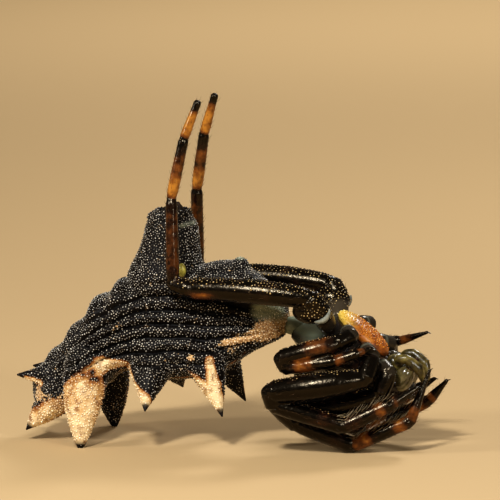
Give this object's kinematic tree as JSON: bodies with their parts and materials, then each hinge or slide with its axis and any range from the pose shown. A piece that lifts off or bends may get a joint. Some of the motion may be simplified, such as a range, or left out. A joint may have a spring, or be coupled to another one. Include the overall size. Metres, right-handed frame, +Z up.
{
  "type": "spined micrathena spider",
  "caption": "Life-size still model of a female spined micrathena held belly up as on its web, with a tall spined abdomen, folded front legs and hind legs reaching up.",
  "frame": {"origin": "centre of the bounding box at its lowest level, the floor that the model rests on", "axes": "+X towards the head, +Y towards the spider's right side, +Z up through its belly, which is uppermost in this pose"},
  "size_m": [0.012, 0.0048, 0.0098],
  "materials": {
    "abdomen": "black-brown granular cuticle with long folds and cream patches edged in tan",
    "spinnerets": "dark brown cuticle with a grey membrane ring",
    "pedicel": "waxy grey-green membrane",
    "cephalothorax": "glossy dark brown carapace, waxy grey-green at its rear",
    "sternum": "yellow to orange plate",
    "mouthparts": "olive-yellow translucent cuticle",
    "chelicerae": "glassy dark grey cuticle",
    "palps": "olive-yellow cuticle with fine bristles",
    "legs": "glossy black to dark brown cuticle with orange bands and fine bristles",
    "eyes": "polished black lenses"
  },
  "bodies": {
    "root": {"abdomen": "abdomen", "spinnerets": "spinnerets", "pedicel": "pedicel", "cephalothorax": "cephalothorax", "sternum": "sternum", "mouthparts": "mouthparts", "chelicera_left": "chelicerae", "chelicera_right": "chelicerae", "palp_left": "palps", "palp_right": "palps", "leg_left_1": "legs", "leg_left_2": "legs", "leg_left_3": "legs", "leg_left_4": "legs", "leg_right_1": "legs", "leg_right_2": "legs", "leg_right_3": "legs", "leg_right_4": "legs", "eye_front_middle_left": "eyes", "eye_front_middle_right": "eyes", "eye_front_side_left": "eyes", "eye_front_side_right": "eyes", "eye_rear_middle_left": "eyes", "eye_rear_middle_right": "eyes", "eye_rear_side_left": "eyes", "eye_rear_side_right": "eyes"}
  },
  "joints": []
}
